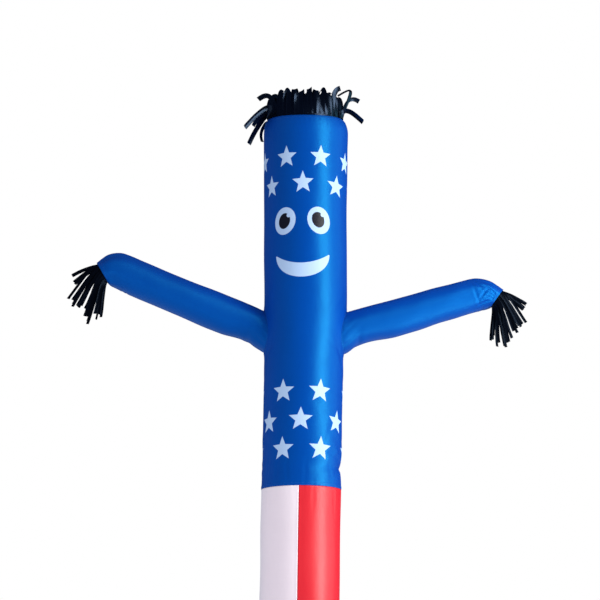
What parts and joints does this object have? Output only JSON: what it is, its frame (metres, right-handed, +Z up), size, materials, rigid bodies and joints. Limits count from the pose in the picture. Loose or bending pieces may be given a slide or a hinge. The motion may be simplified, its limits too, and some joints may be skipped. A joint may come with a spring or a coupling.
{
  "type": "inflatable air dancer",
  "caption": "Tall cloth tube figure with a smiling face, a starred torso, white and red legs, raised sleeves and cut fringe at its head and hands, shaped as when full of air.",
  "frame": {"origin": "on the ground at the middle of the base hem, which is also below the middle of the whole part's bounding box to within about 10 mm", "axes": "+Z up the tube, -Y out of the front, where the face is, and +X towards the sleeve on the right of someone who faces it"},
  "size_m": [1.6695, 0.328, 3.1725],
  "materials": {
    "blue_cloth": "satin nylon, royal blue",
    "white_cloth": "satin nylon, white",
    "red_cloth": "satin nylon, red",
    "black_fringe": "cut satin strands, black"
  },
  "bodies": {
    "root": {"torso_panel": "blue_cloth", "sleeve_left": "blue_cloth", "sleeve_right": "blue_cloth", "leg_panel_white": "white_cloth", "leg_panel_red": "red_cloth", "hair_fringe": "black_fringe", "hand_fringe_left": "black_fringe", "hand_fringe_right": "black_fringe"}
  },
  "joints": []
}
